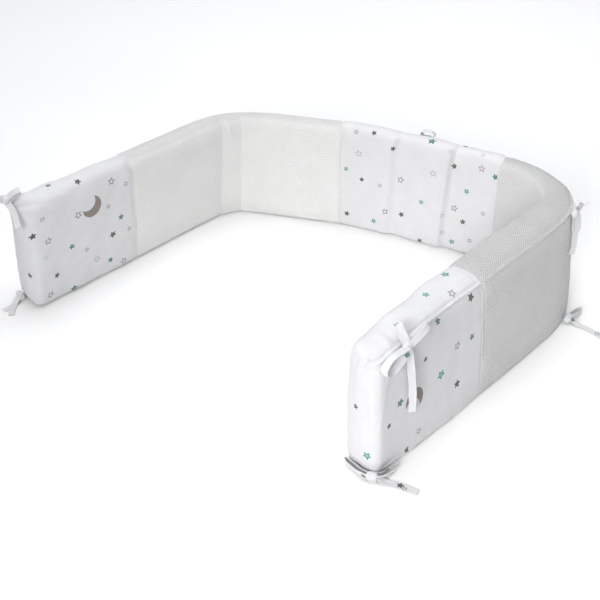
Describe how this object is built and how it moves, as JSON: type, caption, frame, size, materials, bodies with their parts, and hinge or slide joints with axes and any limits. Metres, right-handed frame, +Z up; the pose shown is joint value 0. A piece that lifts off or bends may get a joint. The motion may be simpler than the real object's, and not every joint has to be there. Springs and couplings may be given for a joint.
{
  "type": "crib bumper",
  "caption": "Padded crib bumper set up as an open U, sewn from printed cotton and honeycomb airmesh sections, with fabric bows along its outer seams.",
  "frame": {"origin": "centre of the object's box at floor level, under the open space of the U", "axes": "+Z up from the floor, +Y towards the back of the U, -Y out of its open side, +X towards the right arm"},
  "size_m": [1.0478, 0.9544, 0.2866],
  "materials": {
    "cotton": "woven",
    "airmesh": "knitted mesh"
  },
  "bodies": {
    "root": {"print_left": "cotton", "print_left_outer": "cotton", "mesh_left": "airmesh", "mesh_left_outer": "airmesh", "print_back": "cotton", "print_back_outer": "cotton", "mesh_right": "airmesh", "mesh_right_outer": "airmesh", "print_right": "cotton", "print_right_outer": "cotton", "bow_left_end_top": "cotton", "bow_left_end_foot": "cotton", "bow_left_corner_top": "cotton", "bow_left_corner_foot": "cotton", "bow_back_top": "cotton", "bow_back_foot": "cotton", "bow_right_corner_top": "cotton", "bow_right_corner_foot": "cotton", "bow_right_end_top": "cotton", "bow_right_end_foot": "cotton"}
  },
  "joints": []
}
